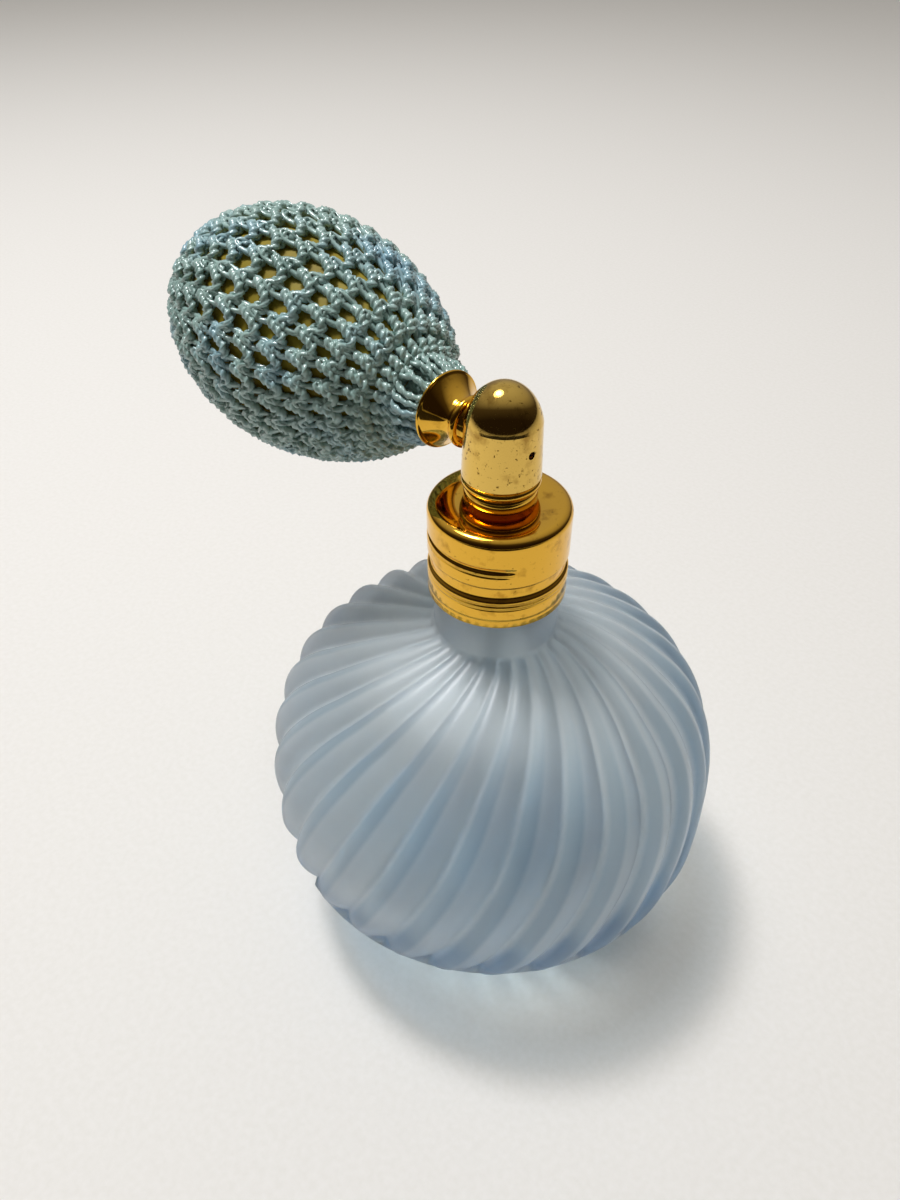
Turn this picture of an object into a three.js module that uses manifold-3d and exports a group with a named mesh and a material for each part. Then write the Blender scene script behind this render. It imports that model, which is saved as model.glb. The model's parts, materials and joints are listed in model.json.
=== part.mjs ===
// Bulb perfume atomiser: ribbed glass bottle, screw collar, swivelling spray head and a rubber bulb in a
// crocheted net. Millimetres, +Z up. The origin is the centre of the bottle's flat base; the bulb lies
// along -X and the spray leaves along +X.

import * as THREE from "three";
import { mergeVertices } from "three/addons/utils/BufferGeometryUtils.js";
import Module from "manifold-3d";

const wasm = await Module();
wasm.setup();

// ---------------------------------------------------------------- driving dimensions

const FACETS = 32; // sides of a turned piece over 4 mm in radius
const SMALL_FACETS = 16; // sides of a smaller turned piece
const TINY_FACETS = 10; // sides of balls, cords and fine bores

// Bottle
const BELLY_RADIUS = 36.5; // over the crests of the ribs
const BELLY_HEIGHT = 25; // of the widest ring above the base
const SHOULDER_RISE = 30.2; // widest ring to the top of the shoulder
const SHOULDER_POWER = 2.85; // 2 is an ellipse, more is squarer
const BELLY_DROP = 27.5; // half height of the lower ellipse, cut off flat by the base
const RIB_COUNT = 28;
const RIB_DEPTH = 1.5;
const RIB_TWIST = 0.37; // turn of a rib for each radian of latitude
const RIB_KICK = 0.5; // how much faster it turns high on the shoulder
const KICK_LATITUDE = 0.75;
const RIB_PHASE = -0.034; // radians, where a groove crosses the widest ring
const RIB_STEPS = 4; // facets on each rib
const GLASS_WALL = 4;
const GLASS_BASE = 6;
const NECK_RADIUS = 9.1;
const NECK_FOOT = 58.2; // where the plain neck leaves the shoulder
const FLARE_RISE = 3.4; // how far the shoulder sweeps up to meet the neck
const FLARE_REACH = 26; // radius at which that sweep begins
const LIP_HEIGHT = 75.6;
const NECK_BORE = 6;
const FINISH_RADIUS = 8.3; // neck under the thread
const FINISH_FOOT = 64.2;
const THREAD_PITCH = 3.175; // eight turns to the inch
const THREAD_TURNS = 1.5;
const THREAD_CREST = 0.45;

// Collar
const COLLAR_RADIUS = 10;
const COLLAR_FOOT = 65;
const COLLAR_TOP = 79.5;
const COLLAR_WALL = 0.8;
const COLLAR_ROOF = 1;
const COLLAR_ROUND = 1.1; // radius of its upper edge
const COLLAR_HOLE = 3;

// Stem, swivel and dip tube
const STEM_RADIUS = 2.6;
const STEM_FOOT = 71.5;
const STEM_TOP = 87.4;
const STEM_BORE = 0.8;
const CLIP_HEIGHT = 86.4; // middle of the groove for the retaining ring
const SEAL_HEIGHT = 84.9; // middle of the swivel seal
const SWIVEL_RADIUS = 5;
const SWIVEL_TOP = 82.3;
const BEAD_RADIUS = 5.35;
const BEAD_TOP = 83.6;
const TUBE_RADIUS = 1.25;
const TUBE_BORE = 0.75;
const WASHER_BORE = 2.8;
const TUBE_FOOT = 9;

// Spray head
const HEAD_RADIUS = 5.1; // where the dome starts
const HEAD_FOOT_RADIUS = 5.35;
const HEAD_FOOT = 83.7;
const DOME_FOOT = 91.7;
const HEAD_WALL = 0.45;
const AXIS_HEIGHT = 88.7; // of the spray hole and the bulb's axis
const SPRAY_HOLE = 0.45;
const CORE_RADIUS = 4.1; // an air gap is left between it and the shell
const CORE_TOP = 93;
const JET_RADIUS = 0.9;
const JET_BORE = 0.2;
const JET_START = 2.6; // measured outwards from the head's upright axis
const JET_END = 4.4;

// Bulb side, measured outwards from the head's upright axis
const BOSS_RADIUS = 2.9;
const NUT_START = 5.7;
const NUT_END = 6.8;
const NUT_RADIUS = 3.7;
const FLARE_START = 6.9;
const FLARE_END = 11;
const FLARE_RADIUS = 5.5;
const NET_START = 11.4;
const BULB_CENTRE = 43;
const BULB_END = 70.9;
const BULB_RADIUS = 18.1; // over the net
const NET_THICKNESS = 1.1;
const SOFT_GAP = 0.3; // between the net and the rubber
const RUBBER_WALL = 1.5;
const BULB_MOUTH = 8.3; // where the rubber's neck starts, inside the flare
const RUBBER_NECK = 2.9;
const SPIGOT_RADIUS = 1.6;
const SPIGOT_BORE = 0.75;
const SPIGOT_END = 18.6;
const VALVE_BORE = 1.2;
const OUTLET_BALL = 0.9;
const INTAKE_RADIUS = 3;
const INTAKE_BALL = 1;
const INTAKE_END = 69.2;

// ---------------------------------------------------------------- geometry helpers

// A turned piece on the Z axis. Its outline is a list of [radius, height] that goes round anticlockwise
// with the radius to the right and the height upwards, closed on itself or on the axis.
function turned(outline, facets) {
  const points = outline.map(([radius, height]) => new THREE.Vector2(radius, height));
  if (outline[0][0] > 0) points.push(points[0].clone());
  return new THREE.LatheGeometry(points, facets).rotateX(Math.PI / 2);
}

// A round bar or drill on the Z axis between two heights.
function bar(radius, from, to, facets) {
  return turned([[0, from], [radius, from], [radius, to], [0, to]], facets);
}

// A plain ring on the Z axis.
function ring(inner, outer, from, to, facets) {
  return turned([[inner, from], [outer, from], [outer, to], [inner, to]], facets);
}

// A ring of round section, such as a cord or a sealing ring.
function cordRing(radius, thickness, height, facets) {
  return new THREE.TorusGeometry(radius, thickness / 2, 8, facets).translate(0, 0, height);
}

function ball(radius, height) {
  return new THREE.SphereGeometry(radius, TINY_FACETS, 8).translate(0, 0, height);
}

// Turns a shape made along +Z to run along +X or -X, at the height of the spray and bulb axis.
function alongX(geometry, direction) {
  return geometry.rotateY((direction * Math.PI) / 2).translate(0, 0, AXIS_HEIGHT);
}

function solid(geometry) {
  const bare = geometry.clone();
  bare.deleteAttribute("normal");
  bare.deleteAttribute("uv");
  const merged = mergeVertices(bare, 1e-3);
  return new wasm.Manifold(
    new wasm.Mesh({
      numProp: 3,
      vertProperties: merged.attributes.position.array,
      triVerts: new Uint32Array(merged.index.array),
    }),
  );
}

function geometryOf(manifold) {
  const mesh = manifold.getMesh();
  const geometry = new THREE.BufferGeometry();
  geometry.setAttribute("position", new THREE.BufferAttribute(mesh.vertProperties, 3));
  geometry.setIndex(new THREE.BufferAttribute(mesh.triVerts, 1));
  geometry.computeVertexNormals();
  return geometry;
}

function cut(geometry, ...tools) {
  let body = solid(geometry);
  for (const tool of tools) body = body.subtract(solid(tool));
  return geometryOf(body);
}

// ---------------------------------------------------------------- outlines

// Radius and height of an egg-shaped outline at a latitude: up from the widest ring, or down from it.
function bellyPoint(latitude, radius, rise, drop, power) {
  const across = Math.cos(latitude);
  const along = Math.abs(Math.sin(latitude));
  const exponent = latitude > 0 ? power : 2;
  const reach = (across ** exponent + along ** exponent) ** (-1 / exponent);
  const height = latitude > 0 ? rise * along * reach : -drop * along * reach;
  return [radius * across * reach, BELLY_HEIGHT + height];
}

// The net's outer radius at a distance out from the head's axis: a slack neck, then an egg.
function netOutline() {
  return new THREE.SplineCurve([
    new THREE.Vector2(6, NET_START),
    new THREE.Vector2(8.1, 14.2),
    new THREE.Vector2(11.4, 20),
    new THREE.Vector2(15.4, 29),
    new THREE.Vector2(BULB_RADIUS, BULB_CENTRE),
    new THREE.Vector2(16.1, 56.5),
    new THREE.Vector2(10.6, 66),
    new THREE.Vector2(5.2, 69.9),
    new THREE.Vector2(0, BULB_END),
  ]).getPoints(13);
}

// The same outline, taken inwards by a distance, ending on the axis.
function netOutlineInside(distance) {
  const curve = netOutline();
  const inner = curve.map((point, i) => {
    const before = curve[Math.max(i - 1, 0)];
    const after = curve[Math.min(i + 1, curve.length - 1)];
    const tangent = after.clone().sub(before).normalize();
    return [Math.max(point.x - distance * tangent.y, 0), point.y + distance * tangent.x];
  });
  inner[inner.length - 1] = [0, BULB_END - distance];
  return inner;
}

// ---------------------------------------------------------------- bottle

function ribbedBody() {
  const columns = RIB_COUNT * RIB_STEPS;
  const lowest = -Math.asin(BELLY_HEIGHT / BELLY_DROP);
  const highest = 1.304;
  const rows = [];
  const steps = 12;
  for (let i = 0; i <= steps; i++) {
    const latitude = lowest + ((highest - lowest) * i) / steps;
    const [radius, height] = bellyPoint(latitude, BELLY_RADIUS, SHOULDER_RISE, BELLY_DROP, SHOULDER_POWER);
    const sweep = latitude > 0 ? Math.max((FLARE_REACH - radius) / (FLARE_REACH - NECK_RADIUS), 0) : 0;
    const spiral = RIB_TWIST * latitude + RIB_KICK * Math.max(latitude - KICK_LATITUDE, 0) ** 2;
    const depth = RIB_DEPTH * Math.min(1, (radius / BELLY_RADIUS) ** 1.2);
    rows.push({ radius, height: height + FLARE_RISE * sweep ** 1.15, spiral, depth });
  }
  rows[0].height = 0;
  rows[0].depth = 0;

  const positions = [];
  const triangles = [];
  for (const row of rows) {
    for (let j = 0; j < columns; j++) {
      const crest = Math.abs(Math.sin((Math.PI * j) / RIB_STEPS)); // 0 in a groove, 1 on a rib
      const angle = (2 * Math.PI * j) / columns + RIB_PHASE + row.spiral;
      const radius = row.radius - row.depth * (1 - crest);
      positions.push(radius * Math.cos(angle), radius * Math.sin(angle), row.height);
    }
  }
  for (let i = 0; i + 1 < rows.length; i++) {
    for (let j = 0; j < columns; j++) {
      const a = i * columns + j;
      const b = i * columns + ((j + 1) % columns);
      triangles.push(a, b, b + columns, a, b + columns, a + columns);
    }
  }
  const base = positions.length / 3;
  positions.push(0, 0, 0, 0, 0, rows[rows.length - 1].height);
  const top = (rows.length - 1) * columns;
  for (let j = 0; j < columns; j++) {
    const next = (j + 1) % columns;
    triangles.push(base, next, j, base + 1, top + j, top + next);
  }
  const geometry = new THREE.BufferGeometry();
  geometry.setAttribute("position", new THREE.Float32BufferAttribute(positions, 3));
  geometry.setIndex(triangles);
  return geometry;
}

// The neck's wall, from the shoulder to the lip.
function neckWall() {
  return turned(
    [
      [NECK_BORE, NECK_FOOT],
      [NECK_RADIUS + 0.5, NECK_FOOT],
      [NECK_RADIUS, NECK_FOOT + 0.6],
      [NECK_RADIUS, FINISH_FOOT - 0.5],
      [FINISH_RADIUS, FINISH_FOOT + 0.3],
      [FINISH_RADIUS, LIP_HEIGHT - 0.4],
      [FINISH_RADIUS - 0.4, LIP_HEIGHT],
      [NECK_BORE, LIP_HEIGHT],
    ],
    FACETS,
  );
}

// The thread: a low bead that winds up the neck.
class ThreadLine extends THREE.Curve {
  getPoint(t, target = new THREE.Vector3()) {
    const angle = 2 * Math.PI * THREAD_TURNS * t;
    const radius = FINISH_RADIUS - 0.1;
    const height = FINISH_FOOT + 3.2 + THREAD_PITCH * THREAD_TURNS * t;
    return target.set(radius * Math.cos(angle), radius * Math.sin(angle), height);
  }
}

function thread() {
  const section = new THREE.Shape();
  section.absarc(0, 0, THREAD_CREST, 0, 2 * Math.PI, false);
  return new THREE.ExtrudeGeometry(section, {
    extrudePath: new ThreadLine(),
    steps: 27,
    curveSegments: 2,
    bevelEnabled: false,
  });
}

function cavity() {
  const outline = [[0, GLASS_BASE]];
  const lowest = -1.2;
  const highest = 1.3;
  const steps = 8;
  const inner = BELLY_RADIUS - RIB_DEPTH - GLASS_WALL;
  for (let i = 0; i <= steps; i++) {
    const latitude = lowest + ((highest - lowest) * i) / steps;
    const drop = BELLY_HEIGHT - GLASS_BASE;
    outline.push(bellyPoint(latitude, inner, SHOULDER_RISE - GLASS_WALL, drop, SHOULDER_POWER));
  }
  outline.push([NECK_BORE + 0.8, NECK_FOOT - 5], [NECK_BORE, NECK_FOOT - 3]);
  outline.push([NECK_BORE, NECK_FOOT + 1], [0, NECK_FOOT + 1]);
  return turned(outline, FACETS);
}

// The neck and its thread are a node of their own, so that the bore stays open to collision.
function neck() {
  return geometryOf(solid(neckWall()).add(solid(thread())));
}

// ---------------------------------------------------------------- collar and stem

function collar() {
  const side = COLLAR_RADIUS;
  const inside = COLLAR_RADIUS - COLLAR_WALL;
  const outline = [
    [inside, COLLAR_FOOT],
    [side - 0.1, COLLAR_FOOT],
    [side, COLLAR_FOOT + 0.15],
    [side, 68.1],
    [side - 0.2, 68.3],
    [side, 68.5],
    [side, 69.6],
    [side - 0.5, 70.3],
    [side - 0.5, 71.3],
    [side, 72],
    [side, 73.8],
    [side - 0.35, 74.2],
    [side - 0.35, 74.7],
    [side, 75.1],
  ];
  for (let i = 0; i <= 4; i++) {
    const turn = (Math.PI / 2) * (i / 4);
    outline.push([
      side - COLLAR_ROUND * (1 - Math.cos(turn)),
      COLLAR_TOP - COLLAR_ROUND * (1 - Math.sin(turn)),
    ]);
  }
  outline.push([COLLAR_HOLE, COLLAR_TOP], [COLLAR_HOLE, COLLAR_TOP - COLLAR_ROOF]);
  outline.push([inside, COLLAR_TOP - COLLAR_ROOF]);
  return turned(outline, FACETS);
}

const FLANGE_TOP = COLLAR_TOP - COLLAR_ROOF - 0.1;
const FLANGE_FOOT = FLANGE_TOP - 1.1;
const FLANGE_RADIUS = 8.6;

// The post that the head swivels on. Its flange is trapped between the washer and the collar's roof.
function stem() {
  return turned(
    [
      [TUBE_RADIUS + 0.05, STEM_FOOT],
      [STEM_RADIUS, STEM_FOOT],
      [STEM_RADIUS, FLANGE_FOOT],
      [FLANGE_RADIUS, FLANGE_FOOT],
      [FLANGE_RADIUS, FLANGE_TOP],
      [STEM_RADIUS, FLANGE_TOP],
      [STEM_RADIUS, CLIP_HEIGHT - 0.3],
      [STEM_RADIUS - 0.4, CLIP_HEIGHT - 0.3],
      [STEM_RADIUS - 0.4, CLIP_HEIGHT + 0.3],
      [STEM_RADIUS, CLIP_HEIGHT + 0.3],
      [STEM_RADIUS, STEM_TOP - 0.3],
      [STEM_RADIUS - 0.3, STEM_TOP],
      [STEM_BORE, STEM_TOP],
      [STEM_BORE, FLANGE_FOOT],
      [TUBE_RADIUS + 0.05, FLANGE_FOOT],
    ],
    SMALL_FACETS,
  );
}

function bead() {
  const middle = (SWIVEL_TOP + BEAD_TOP) / 2;
  return turned(
    [
      [STEM_RADIUS + 0.1, SWIVEL_TOP + 0.05],
      [BEAD_RADIUS - 0.35, SWIVEL_TOP + 0.05],
      [BEAD_RADIUS, middle - 0.25],
      [BEAD_RADIUS, middle + 0.25],
      [BEAD_RADIUS - 0.3, BEAD_TOP],
      [STEM_RADIUS + 0.1, BEAD_TOP],
    ],
    FACETS,
  );
}

// ---------------------------------------------------------------- spray head

// Half of a dome's outline, from its foot to the axis.
function domeArc(radius, foot) {
  const steps = 7;
  const arc = [];
  for (let i = 0; i <= steps; i++) {
    const turn = (Math.PI / 2) * (i / steps);
    arc.push([i === steps ? 0 : radius * Math.cos(turn), foot + radius * Math.sin(turn)]);
  }
  return arc;
}

function headShell() {
  const inside = HEAD_RADIUS - HEAD_WALL;
  const outline = [
    ...domeArc(inside, DOME_FOOT).reverse(),
    [inside, HEAD_FOOT],
    [HEAD_FOOT_RADIUS, HEAD_FOOT],
    ...domeArc(HEAD_RADIUS, DOME_FOOT),
  ];
  return cut(
    turned(outline, FACETS),
    alongX(bar(SPRAY_HOLE, 2, 8, TINY_FACETS), 1),
    alongX(bar(BOSS_RADIUS + 0.1, 2, 8, SMALL_FACETS), -1),
  );
}

// Bored from below for the stem, with the liquid's way up to the jet.
function headCore() {
  return cut(
    bar(CORE_RADIUS, HEAD_FOOT + 0.1, CORE_TOP, SMALL_FACETS),
    bar(3.5, HEAD_FOOT - 1, STEM_TOP + 0.2, SMALL_FACETS),
    bar(STEM_BORE, STEM_TOP, AXIS_HEIGHT + 0.4, TINY_FACETS),
    alongX(bar(JET_RADIUS + 0.1, JET_START - 0.1, 8, TINY_FACETS), 1),
    alongX(bar(0.4, 0, 4, TINY_FACETS), 1),
  );
}

function sprayJet() {
  return alongX(
    turned(
      [
        [JET_BORE, JET_START],
        [JET_RADIUS, JET_START],
        [JET_RADIUS, JET_END - 0.3],
        [JET_RADIUS - 0.3, JET_END],
        [JET_BORE, JET_END],
      ],
      TINY_FACETS,
    ),
    1,
  );
}

// ---------------------------------------------------------------- bulb side

// Carries the air from the bulb. It goes through the head's wall, and the rubber is tied over its barb.
function spigot() {
  return alongX(
    turned(
      [
        [SPIGOT_BORE, CORE_RADIUS + 0.1],
        [BOSS_RADIUS, CORE_RADIUS + 0.1],
        [BOSS_RADIUS, NUT_START - 0.1],
        [2, NUT_START - 0.1],
        [2, NUT_END + 0.1],
        [SPIGOT_RADIUS, NUT_END + 0.1],
        [SPIGOT_RADIUS, 15],
        [SPIGOT_RADIUS + 0.25, 15.4],
        [SPIGOT_RADIUS, 17.2],
        [SPIGOT_RADIUS, SPIGOT_END],
        [VALVE_BORE, SPIGOT_END],
        [VALVE_BORE, 13.4],
        [SPIGOT_BORE, 12.9],
      ],
      SMALL_FACETS,
    ),
    -1,
  );
}

function nut() {
  return alongX(
    turned(
      [
        [2.1, NUT_START],
        [NUT_RADIUS - 0.35, NUT_START],
        [NUT_RADIUS, NUT_START + 0.35],
        [NUT_RADIUS, NUT_END - 0.35],
        [NUT_RADIUS - 0.35, NUT_END],
        [2.1, NUT_END],
      ],
      FACETS,
    ),
    -1,
  );
}

function flare() {
  return alongX(
    turned(
      [
        [1.75, FLARE_START],
        [3, FLARE_START],
        [3.15, FLARE_START + 0.5],
        [3.7, FLARE_START + 1.6],
        [4.5, FLARE_START + 2.6],
        [FLARE_RADIUS, FLARE_END - 0.5],
        [FLARE_RADIUS, FLARE_END],
        [FLARE_RADIUS - 0.5, FLARE_END],
        [4.1, FLARE_START + 3],
        [3.5, FLARE_START + 2.2],
        [2.9, FLARE_START + 1],
        [1.75, FLARE_START + 0.8],
      ],
      FACETS,
    ),
    -1,
  );
}

const SEAT_START = 16.4; // of the ring that the outlet ball rests on

function outletSeat() {
  return alongX(
    turned(
      [
        [0.5, SEAT_START + 0.5],
        [VALVE_BORE - 0.1, SEAT_START],
        [VALVE_BORE - 0.05, SEAT_START],
        [VALVE_BORE - 0.05, SPIGOT_END],
        [0.5, SPIGOT_END],
      ],
      TINY_FACETS,
    ),
    -1,
  );
}

// A pin across the bore that stops the ball before it can close the way to the head.
function outletPin() {
  const reach = VALVE_BORE - 0.1;
  return bar(0.2, -reach, reach, 8).translate(-14, 0, AXIS_HEIGHT);
}

function rubberBulb() {
  const face = NET_THICKNESS + SOFT_GAP;
  const outside = netOutlineInside(face);
  const inside = netOutlineInside(face + RUBBER_WALL);
  const hole = INTAKE_RADIUS + 0.2;
  const mouth = SPIGOT_RADIUS + 0.35;
  const outline = [[mouth, BULB_MOUTH], [RUBBER_NECK, BULB_MOUTH], [RUBBER_NECK + 0.1, 14]];
  outline.push(...outside.filter(([radius, along]) => along > 15.5 && radius > hole + 0.2));
  outline.push([hole, BULB_END - face - 0.5], [hole, BULB_END - face - RUBBER_WALL - 0.4]);
  outline.push(...inside.filter(([radius, along]) => along > 19 && radius > hole + 0.4).reverse());
  outline.push([mouth, 16]);
  return alongX(turned(outline, SMALL_FACETS), -1);
}

function net() {
  const outside = netOutline().map((point) => [point.x, point.y]);
  const inside = netOutlineInside(NET_THICKNESS);
  outside[outside.length - 1] = [0, BULB_END];
  return alongX(turned([...inside.reverse(), ...outside], FACETS), -1);
}

// Held in the rubber's tail by its flange. Its ball closes the way out while the bulb is pressed.
function intakeBody() {
  const stem = INTAKE_RADIUS - 0.6;
  return alongX(
    turned(
      [
        [INTAKE_BALL + 0.3, 64.2],
        [stem, 64.2],
        [stem, 65.6],
        [INTAKE_RADIUS + 1.2, 65.6],
        [INTAKE_RADIUS + 1.2, 66.4],
        [INTAKE_RADIUS, 66.6],
        [INTAKE_RADIUS, INTAKE_END],
        [0.7, INTAKE_END],
        [0.7, 67.9],
        [INTAKE_BALL + 0.3, 67.3],
      ],
      SMALL_FACETS,
    ),
    -1,
  );
}

function intakeCap() {
  return alongX(ring(0.6, INTAKE_BALL + 0.2, 64.3, 65, TINY_FACETS), -1);
}

// ---------------------------------------------------------------- materials

function finish(color, roughness, metalness) {
  return new THREE.MeshStandardMaterial({ color, roughness, metalness });
}

const FROSTED_GLASS = finish(0xb9cdd9, 0.5, 0);
const GILT = finish(0xd9a741, 0.18, 1);
const POLISHED_BRASS = finish(0xcfae5c, 0.14, 1);
const TURNED_BRASS = finish(0xb08d4c, 0.35, 1);
const STEEL = finish(0xb9bcc0, 0.2, 1);
const WHITE_PLASTIC = finish(0xe9e8e2, 0.45, 0);
const CLEAR_PLASTIC = finish(0xdfe5e6, 0.25, 0);
const BLACK_RUBBER = finish(0x262524, 0.7, 0);
const LATEX = finish(0xb08f2e, 0.55, 0);
const RAYON = finish(0x86a3a6, 0.5, 0);
const TINNED_WIRE = finish(0xa9a9a4, 0.4, 1);

// ---------------------------------------------------------------- assembly

const atomiser = new THREE.Group();

function place(name, geometry, material) {
  const mesh = new THREE.Mesh(geometry, material);
  mesh.name = name;
  atomiser.add(mesh);
}

place("bottle", cut(ribbedBody(), cavity()), FROSTED_GLASS);
place("neck", neck(), FROSTED_GLASS);
place("sealing_washer", ring(WASHER_BORE, 8.5, LIP_HEIGHT + 0.05, FLANGE_FOOT - 0.1, FACETS), BLACK_RUBBER);

place("screw_collar", collar(), GILT);
place("stem", stem(), TURNED_BRASS);
place("swivel_ring", ring(STEM_RADIUS + 0.1, SWIVEL_RADIUS, COLLAR_TOP + 0.05, SWIVEL_TOP, FACETS), GILT);
place("dip_tube", ring(TUBE_BORE, TUBE_RADIUS, TUBE_FOOT, FLANGE_FOOT - 0.3, SMALL_FACETS), CLEAR_PLASTIC);

place("head_shell", headShell(), POLISHED_BRASS);
place("bead_ring", bead(), GILT);
place("head_core", headCore(), WHITE_PLASTIC);
place("retaining_ring", ring(STEM_RADIUS - 0.3, 3.3, CLIP_HEIGHT - 0.2, CLIP_HEIGHT + 0.2, SMALL_FACETS), STEEL);
place("swivel_seal", cordRing(3.06, 0.7, SEAL_HEIGHT, SMALL_FACETS), BLACK_RUBBER);
place("spray_jet", sprayJet(), TURNED_BRASS);

place("air_spigot", spigot(), TURNED_BRASS);
place("spigot_nut", nut(), GILT);
place("bulb_flare", flare(), GILT);
place("outlet_ball", alongX(ball(OUTLET_BALL, SEAT_START - 0.75), -1), STEEL);
place("outlet_pin", outletPin(), STEEL);
place("outlet_seat", outletSeat(), TURNED_BRASS);
place("neck_binding", alongX(cordRing(3.3, 0.5, 9.6, SMALL_FACETS), -1), TINNED_WIRE);

place("rubber_bulb", rubberBulb(), LATEX);
place("crochet_net", net(), RAYON);
place("net_drawstring", alongX(cordRing(3.8, 0.7, 12.6, SMALL_FACETS), -1), RAYON);

place("intake_valve", intakeBody(), TURNED_BRASS);
place("intake_ball", alongX(ball(INTAKE_BALL, 67.05), -1), STEEL);
place("intake_cap", intakeCap(), TURNED_BRASS);

export default atomiser;
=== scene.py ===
# The looks of a bulb perfume atomiser: a swirl-ribbed, acid-frosted glass bottle, gilt screw collar, domed
# spray head and a rubber bulb in a crocheted rayon net. Metres, in the frame of the part: the bottle
# stands on the origin, the bulb lies along -X and the spray leaves along +X.

import bisect
import json
import math
import random

import bmesh
import bpy
from mathutils import Matrix, Vector, noise


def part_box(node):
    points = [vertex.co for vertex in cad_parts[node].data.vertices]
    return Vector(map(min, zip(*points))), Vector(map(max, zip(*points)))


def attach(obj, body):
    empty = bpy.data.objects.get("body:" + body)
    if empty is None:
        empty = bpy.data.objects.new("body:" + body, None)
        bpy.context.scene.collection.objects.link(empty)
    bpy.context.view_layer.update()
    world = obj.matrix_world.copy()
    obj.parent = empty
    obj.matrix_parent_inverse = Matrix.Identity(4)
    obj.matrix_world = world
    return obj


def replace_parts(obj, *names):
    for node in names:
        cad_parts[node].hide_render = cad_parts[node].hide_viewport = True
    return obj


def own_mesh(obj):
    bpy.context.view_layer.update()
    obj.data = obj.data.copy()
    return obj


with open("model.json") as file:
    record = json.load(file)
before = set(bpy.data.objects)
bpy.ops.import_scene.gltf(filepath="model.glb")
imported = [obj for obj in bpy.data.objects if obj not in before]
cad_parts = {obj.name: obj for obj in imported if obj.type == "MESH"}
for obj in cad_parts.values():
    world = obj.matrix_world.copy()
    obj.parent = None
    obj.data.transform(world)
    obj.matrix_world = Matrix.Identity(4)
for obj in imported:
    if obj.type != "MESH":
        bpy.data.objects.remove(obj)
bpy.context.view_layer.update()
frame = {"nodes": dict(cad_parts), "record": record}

MM = 0.001
TURN = 2 * math.pi
MERGE_DISTANCE = 1e-4 * MM
VIEW_SIDE = Vector((0.743, -0.669, 0))  # level direction from the object to the camera


# ---------------------------------------------------------------- places from the frame

def top_of(node):
    """The upper corner of a node's box."""
    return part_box(node)[1]


def foot_of(node):
    """The lower corner of a node's box."""
    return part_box(node)[0]


AXIS_HEIGHT = (foot_of("spigot_nut").z + top_of("spigot_nut").z) / 2  # of the spray and the bulb
BELLY_RADIUS = top_of("bottle").y
LIP_HEIGHT = top_of("neck").z
COLLAR_RADIUS = top_of("screw_collar").y
COLLAR_FOOT = foot_of("screw_collar").z
COLLAR_TOP = top_of("screw_collar").z
SWIVEL_RADIUS = top_of("swivel_ring").y
BEAD_RADIUS = top_of("bead_ring").y
HEAD_FOOT = foot_of("head_shell").z
HEAD_TOP = top_of("head_shell").z
HEAD_FOOT_RADIUS = top_of("head_shell").y
NUT_START = -top_of("spigot_nut").x
NUT_END = -foot_of("spigot_nut").x
NUT_RADIUS = top_of("spigot_nut").y
FLARE_START = -top_of("bulb_flare").x
FLARE_END = -foot_of("bulb_flare").x
FLARE_RADIUS = top_of("bulb_flare").y
NET_END = -foot_of("crochet_net").x
NET_RADIUS = top_of("crochet_net").y


# ---------------------------------------------------------------- making meshes

def finished(name, bm, material, body):
    """Turns a bmesh into a smooth-shaded piece that rides on a body."""
    mesh = bpy.data.meshes.new(name)
    for face in bm.faces:
        face.smooth = True
    bm.to_mesh(mesh)
    bm.free()
    mesh.materials.append(material)
    piece = bpy.data.objects.new(name, mesh)
    bpy.context.scene.collection.objects.link(piece)
    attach(piece, body)
    return piece


def turned(outline, steps):
    """Spins an outline of (radius, height) round the Z axis, and closes it unless it starts on the axis."""
    bm = bmesh.new()
    points = [bm.verts.new((radius, 0, height)) for radius, height in outline]
    edges = [bm.edges.new(pair) for pair in zip(points, points[1:]) if pair[0].co.x + pair[1].co.x > 0]
    if outline[0][0] > 0:
        edges.append(bm.edges.new((points[-1], points[0])))
    bmesh.ops.spin(bm, geom=points + edges, cent=(0, 0, 0), axis=(0, 0, 1), angle=TURN,
                   steps=steps, use_merge=True)
    bmesh.ops.remove_doubles(bm, verts=bm.verts, dist=MERGE_DISTANCE)
    bmesh.ops.recalc_face_normals(bm, faces=bm.faces)
    return bm


def along_x(bm):
    """Lays a shape turned round Z along -X, at the height of the bulb's axis."""
    bmesh.ops.rotate(bm, verts=bm.verts, cent=(0, 0, 0), matrix=Matrix.Rotation(-math.pi / 2, 3, "Y"))
    bmesh.ops.translate(bm, verts=bm.verts, vec=(0, 0, AXIS_HEIGHT))
    return bm


def arc(centre, radius, start, end, steps):
    """Points of an arc in (radius, height), from one angle to another in degrees."""
    points = []
    for i in range(steps + 1):
        turn = math.radians(start + (end - start) * i / steps)
        points.append((centre[0] + radius * math.cos(turn), centre[1] + radius * math.sin(turn)))
    return points


def smoothstep(value, low, high):
    """0 below low and 1 above high, with a smooth rise between them."""
    t = min(max((value - low) / (high - low), 0), 1)
    return t * t * (3 - 2 * t)


# ---------------------------------------------------------------- making materials

def linear(code):
    """An sRGB hex colour as linear red, green, blue and alpha."""
    channels = [int(code[i:i + 2], 16) / 255 for i in (1, 3, 5)]
    return [c / 12.92 if c <= 0.04045 else ((c + 0.055) / 1.055) ** 2.4 for c in channels] + [1]


def material(name):
    """A new material and its empty node tree."""
    made = bpy.data.materials.new(name)
    made.use_nodes = True
    made.node_tree.nodes.clear()
    return made, made.node_tree


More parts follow.
